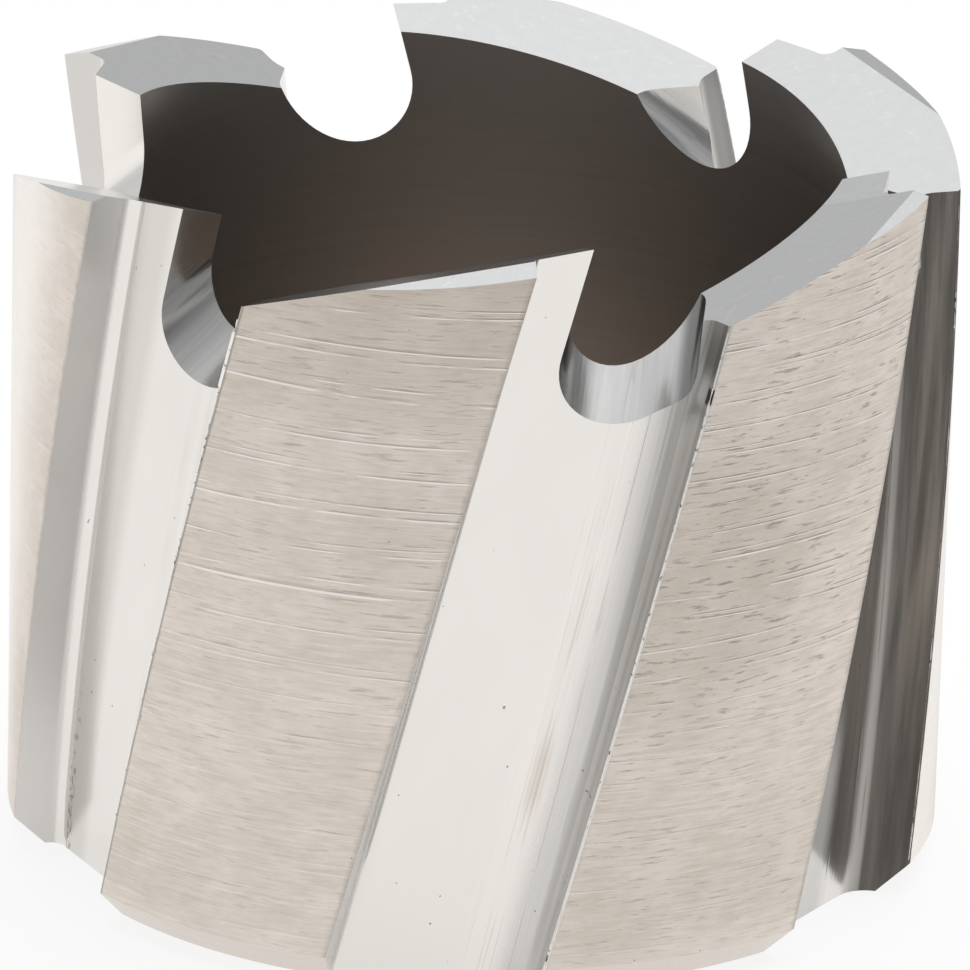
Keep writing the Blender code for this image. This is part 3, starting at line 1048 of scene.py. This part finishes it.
# %% Turned and hardened faces
def hardened_bore(tree):
    x, y, z = object_place(tree)
    reach, height = reach_of(x, y), z / MM
    turning = noise(reach * 6.0, height * 5.0, x.maths("ARCTAN2", 0 - y) * 0.8, 2.0)
    stain = noise(x * 70.0, y * 70.0, height * 0.05, 2.0)
    chamfer = reach.step(14.6, 14.7)
    colour = blend(stain.step(0.35, 0.68), (0.49, 0.467, 0.445), (0.54, 0.46, 0.405))
    colour = layered(
        colour,
        turning_lines=(turning.step(0.3, 0.75) * 0.3, (0.40, 0.38, 0.36)),
        ground_chamfer=(chamfer, (0.74, 0.685, 0.645)),
    )
    rough = 0.34 - chamfer * 0.1 + turning * 0.08
    relief = bump(turning * (1 - chamfer), 0.003 * MM, 0.5)
    return dict(base_color=colour, metallic=1.0, roughness=rough, normal=relief)


finishes.append(finish(hardened_bore))

# %% [markdown]
# Now the tree runs once with the five finishes, in the order of the zones. Its result becomes
# a plain mesh and gets its true normals. The drawn tools go, as they are no part of the cutter.

# %% Build the cutter
cutter = grown("cutter", cutter_tree(finishes), SETTINGS)
set_true_normals(cutter.data)
for helper in (section_line, blank, gullet, *facets):
    bpy.data.objects.remove(helper)
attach(cutter, "root")
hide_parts("cutter_body")
print("Faces of the cutter:", len(cutter.data.polygons))

# %% [markdown]
# Sharp ground edges keep a thin lip of burr and a few torn lumps. A second tree lays them
# along the heel edges: one line for each tooth is bent to the helix, given a thickness that
# comes and goes, and strewn with small lumps drawn out along the edge. Spans of the height add
# burr where the photo shows it on the two front edges.

# %% Lines along the heel edges
BURRS = {
    "Teeth": ("Int", TEETH), "Places": ("Int", 300), "Kept": ("Float", 0.3), "Seed": ("Int", 5),
    "Bottom": ("Float", 1.2 * MM), "Top": ("Float", 22.7 * MM), "Tip height": ("Float", BODY_HEIGHT),
    "Twist per metre": ("Float", TWIST), "Edge angle": ("Float", FLUTE + 0.02 * MM / OUTER_RADIUS),
    "Edge radius": ("Float", OUTER_RADIUS - 0.045 * MM), "Lip": ("Float", 0.042 * MM),
    "Lump": ("Float", 0.06 * MM),
}
LEAST_LIP, ROUGHNESS_OF_BURRS = 0.002 * MM, 0.025 * MM


def edge_lines(tree, given):
    """Lines along the heel edges, with the tooth, the place and the height of their points."""
    spots = tree.add("GeometryNodePoints", inputs={"Count": given["Teeth"]})
    rails = {"Points": spots, "Instance": upright_line(tree, given)}
    rails = tree.add("GeometryNodeInstanceOnPoints", inputs=rails)
    rails = {"Geometry": rails, "Name": "tooth", "Value": tree.add("GeometryNodeInputIndex")}
    facts = {"data_type": "INT", "domain": "INSTANCE"}
    rails = tree.add("GeometryNodeStoreNamedAttribute", facts, rails)
    rails = tree.add("GeometryNodeRealizeInstances", inputs={"Geometry": rails})
    rails = tree.add("GeometryNodeResampleCurve", inputs={"Curve": rails, "Count": given["Places"]})

    tooth = tree.add("GeometryNodeInputNamedAttribute", {"data_type": "INT"}, {"Name": "tooth"})
    position = tree.add("GeometryNodeInputPosition")
    height = tree.add("ShaderNodeSeparateXYZ", inputs={0: position}, output="Z")
    turn = tooth / given["Teeth"] * math.tau + given["Edge angle"]
    turn = turn + (height - given["Tip height"]) * given["Twist per metre"]
    place = {"X": turn.maths("SINE") * given["Edge radius"], "Z": height}
    place["Y"] = 0 - turn.maths("COSINE") * given["Edge radius"]
    place = tree.add("ShaderNodeCombineXYZ", inputs=place)
    rails = tree.add("GeometryNodeSetPosition", inputs={"Geometry": rails, "Position": place})
    return rails, tooth, position, height


# %% Lips and lumps on the lines
def lips_along(tree, given, rails, position, level, front, left):
    """A thin tube along each line, which swells by chance and in the photo's places."""
    swell = tree.add("ShaderNodeTexNoise", inputs={"Vector": position, "Scale": 420.0, "Detail": 3.0})
    long_lip = front * span(level, 10.0, 20.3, 0.3) * 0.75
    long_lip = long_lip + left * span(level, 20.3, 22.3, 0.1) * 1.5
    thick = (swell.step(0.42, 0.60) * 0.5).most(long_lip) * given["Lip"] + LEAST_LIP
    ring = tree.add("GeometryNodeCurvePrimitiveCircle", inputs={"Resolution": 10, "Radius": 1.0})
    lips = {"Curve": rails, "Profile Curve": ring, "Scale": thick, "Fill Caps": True}
    return tree.add("GeometryNodeCurveToMesh", inputs=lips)


def lumps_along(tree, given, rails, position, level, front, left):
    """Small lumps on a few points of the lines, leaned with the edge and drawn out along it."""
    def chance(low, high, seed):
        limits = {2: low, 3: high, "Seed": given["Seed"] + seed}
        return tree.add("FunctionNodeRandomValue", {"data_type": "FLOAT"}, limits, 1)

    cluster = {"Vector": position, "Scale": 700.0, "Detail": 2.0}
    cluster = tree.add("ShaderNodeTexNoise", inputs=cluster)
    torn = front * (span(level, 10.2, 13.4, 0.4) + span(level, 20.3, 20.7, 0.1))
    torn = torn + left * (span(level, 15.8, 17.2, 0.3) + span(level, 20.0, 20.2, 0.1))
    limits = {0: chance(0, 1, 1), 1: (cluster.step(0.45, 0.75) * 0.12 + torn) * given["Kept"]}
    kept = tree.add("FunctionNodeCompare", {"operation": "LESS_THAN"}, limits)
    x, y = tree.add("ShaderNodeSeparateXYZ", inputs={0: position}, output=("X", "Y"))
    leaned = {"Y": math.atan(TWIST * OUTER_RADIUS), "Z": x.maths("ARCTAN2", 0 - y)}
    size = given["Lump"] * chance(0.4, 1.0, 2)
    sizes = {"X": size * chance(0.5, 0.9, 3), "Y": size * 0.6, "Z": size * chance(0.8, 2.4, 4)}
    lumps = {
        "Points": rails, "Selection": kept,
        "Instance": tree.add("GeometryNodeMeshIcoSphere", inputs={"Radius": 1.0, "Subdivisions": 3}),
        "Rotation": tree.add("ShaderNodeCombineXYZ", inputs=leaned),
        "Scale": tree.add("ShaderNodeCombineXYZ", inputs=sizes),
    }
    return tree.add("GeometryNodeInstanceOnPoints", inputs=lumps)


# %% Grow the burrs
def burr_tree(material):
    """The tree that joins lips and lumps and roughens them."""
    group, tree, leave, given = fresh_tree("edge_burrs", BURRS)
    rails, tooth, position, height = edge_lines(tree, given)
    marks = (position, height / MM, *on_pitch(tooth, 0, TEETH - 1))
    burrs = [make(tree, given, rails, *marks) for make in (lips_along, lumps_along)]
    burrs = tree.add("GeometryNodeJoinGeometry", inputs={"Geometry": burrs})
    burrs = tree.add("GeometryNodeRealizeInstances", inputs={"Geometry": burrs})
    noise_at = {"Vector": position, "Scale": 25000.0, "Detail": 1.0}
    shift = tree.add("ShaderNodeTexNoise", inputs=noise_at, output=1)
    centred = {0: shift, 1: (0.5, 0.5, 0.5)}
    shift = tree.add("ShaderNodeVectorMath", {"operation": "SUBTRACT"}, centred)
    scaled = {0: shift, "Scale": ROUGHNESS_OF_BURRS}
    shift = tree.add("ShaderNodeVectorMath", {"operation": "SCALE"}, scaled)
    burrs = tree.add("GeometryNodeSetPosition", inputs={"Geometry": burrs, "Offset": shift})
    burrs = tree.add("GeometryNodeSetMaterial", inputs={"Geometry": burrs, "Material": material})
    tree.links.new(burrs.socket, leave.inputs[0])
    return group


def torn_steel(tree):
    x, y, z = object_place(tree)
    patch = noise(x * 9000.0, y * 9000.0, z * 4000.0, 2.0)
    colour = blend(patch.step(0.30, 0.42), (0.14, 0.13, 0.12), (0.97, 0.955, 0.93))
    return dict(base_color=colour, metallic=1.0, roughness=patch * 0.3 + 0.2)


burrs = grown("burrs", burr_tree(finish(torn_steel)), BURRS)
burrs.data.shade_smooth()
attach(burrs, "root")
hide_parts("cutter_body")
print("Faces of the burrs:", len(burrs.data.polygons))

# %% [markdown]
# The studio is a white table under a soft sky. Polished steel is mostly a picture of what
# stands round it, so the table counts as much as the finishes do. The camera and the mirrors
# see it nearly as glowing paper, which stays white as in the photo and still takes a faint
# shadow. In reflections it fades to the sky's own level, so that no horizon line shows.

# %% Table
HORIZON, TO_BACK, TO_RIGHT = 0.42, 0.17, -0.18
FADE_FROM, FADE_TO, PAPER_SHARE = 0.08, 0.28, 0.86


def table_material():
    material, tree, shader = material_tree("white_table")
    feed(shader, base_color=(0.85, 0.85, 0.85, 1), roughness=0.9, specular_ior_level=0.0)
    rays = ("Is Camera Ray", "Is Glossy Ray")
    camera_ray, glossy_ray = tree.add("ShaderNodeLightPath", output=rays)
    point = tree.add("ShaderNodeTexCoord", output="Object")
    away = tree.add("ShaderNodeVectorMath", {"operation": "LENGTH"}, {0: point}, "Value")
    right_of, back_of = tree.add("ShaderNodeSeparateXYZ", inputs={0: point}, output=("X", "Y"))
    fade = (away * (1 - HORIZON) - back_of * TO_BACK - right_of * TO_RIGHT) / away
    far = away.step(FADE_FROM, FADE_TO) * glossy_ray * fade
    tint = blend(glossy_ray, (1.0, 1.0, 1.0), (1.0, 0.98, 0.952))
    white = blend(far, tint, (0.0, 0.0, 0.0))
    paper = tree.add("ShaderNodeEmission", inputs={"Color": white, "Strength": 1.0})
    share = (camera_ray + glossy_ray) * PAPER_SHARE
    seen = {0: share, 1: Value(tree, shader.outputs[0]), 2: paper}
    mixed = tree.add("ShaderNodeMixShader", inputs=seen)
    tree.links.new(mixed.socket, tree.nodes["Material Output"].inputs["Surface"])
    return material


# The table lies a hundredth of a millimetre low, so that it never shares a plane with the back.
TABLE_HALF, TABLE_TOP = 3.0, -0.01 * MM
signs = ((-1, -1), (1, -1), (1, 1), (-1, 1))
corners = [(x * TABLE_HALF, y * TABLE_HALF, TABLE_TOP) for x, y in signs]
table = mesh_object("table", corners, [(0, 1, 2, 3)])
table.data.materials.append(table_material())
print("Half width of the table in m:", TABLE_HALF)

# %% [markdown]
# The sky is dim near the horizon and bright overhead, so steep steel mirrors grey and sloping
# steel white. It also changes a little from left to right and from front to back, as the grey
# of the real faces does, and the camera itself sees it plain white. A wide lamp overhead
# lights the table and stays out of the mirrors.

# %% Sky and lamp
ZENITH, HIGH_TO_BACK, HIGH_TO_RIGHT = 0.79, 0.30, 0.19
world = bpy.data.worlds.new("studio")
bpy.context.scene.world = world
world.use_nodes = True
sky = Tree(world.node_tree)
direction = sky.add("ShaderNodeTexCoord", output="Generated")
axes = sky.add("ShaderNodeSeparateXYZ", inputs={0: direction}, output=("X", "Y", "Z"))
to_right, to_back, upwards = axes
low_level = to_back * TO_BACK + to_right * TO_RIGHT + HORIZON
high_level = to_back * HIGH_TO_BACK + to_right * HIGH_TO_RIGHT + ZENITH
level = low_level + (high_level - low_level) * upwards.step(0.25, 0.78)
shown = sky.add("ShaderNodeLightPath", output="Is Camera Ray")
level = level * (1 - shown) + shown
backdrop = world.node_tree.nodes["Background"]
sky.links.new(level.socket, backdrop.inputs["Strength"])
backdrop.inputs["Color"].default_value = (1, 1, 1, 1)

lamp = bpy.data.objects.new("overhead", bpy.data.lights.new("overhead", "AREA"))
lamp.data.shape, lamp.data.size, lamp.data.energy = "DISK", 2.4, 30.0
lamp.location = (0.3, 0.5, 2.0)
lamp.rotation_euler = Vector(lamp.location).to_track_quat("Z", "Y").to_euler()
lamp.visible_camera = lamp.visible_glossy = False
bpy.context.scene.collection.objects.link(lamp)
print("Height of the lamp in m:", round(lamp.location.z, 2))

# %% [markdown]
# The Standard view transform keeps white paper white, as it is in the photo.

# %% Output
bpy.context.scene.view_settings.view_transform = "Standard"
